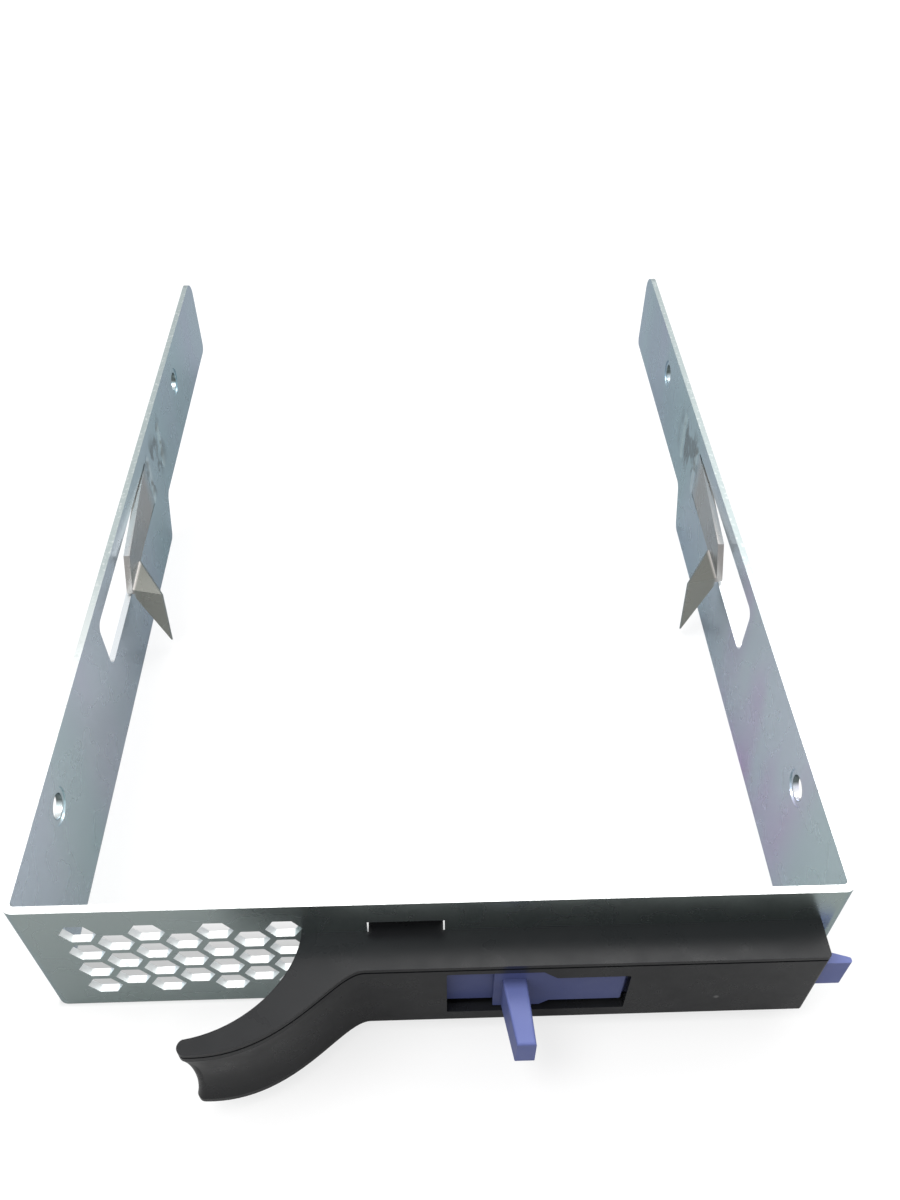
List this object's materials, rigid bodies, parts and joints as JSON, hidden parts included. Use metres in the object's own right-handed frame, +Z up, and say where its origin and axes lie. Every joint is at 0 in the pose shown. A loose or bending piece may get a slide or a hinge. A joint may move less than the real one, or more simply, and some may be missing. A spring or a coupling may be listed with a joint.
{
  "type": "hot swap drive caddy",
  "caption": "Folded sheet tray that carries a 3.5-inch drive between two side rails, with a moulded bezel, a curved pull handle and a sprung sliding latch at its front.",
  "frame": {"origin": "middle of the front web's bottom edge, halfway through the sheet", "axes": "+X to the right seen from the front, +Y back along the rails, +Z up; the bezel and handle are at -Y"},
  "size_m": [0.1055, 0.1655, 0.026],
  "materials": {
    "zinc_sheet": "bright zinc plate",
    "black_moulding": "satin",
    "blue_moulding": "satin",
    "spring_steel": "drawn wire",
    "zinc_screw": "zinc plate"
  },
  "bodies": {
    "tray": {"tray_frame": "zinc_sheet", "bezel_handle": "black_moulding", "bezel_screw_left": "zinc_screw", "bezel_screw_right": "zinc_screw", "latch_spring": "spring_steel"},
    "latch": {"release_latch": "blue_moulding"}
  },
  "joints": [
    {"name": "latch_slide", "type": "slide", "parent": "tray", "child": "latch", "axis": [-1, 0, 0], "range_m": [0, 0.0045], "stiffness_N_per_m": 300, "springref_m": -0.003, "deforming": ["latch_spring"]}
  ]
}
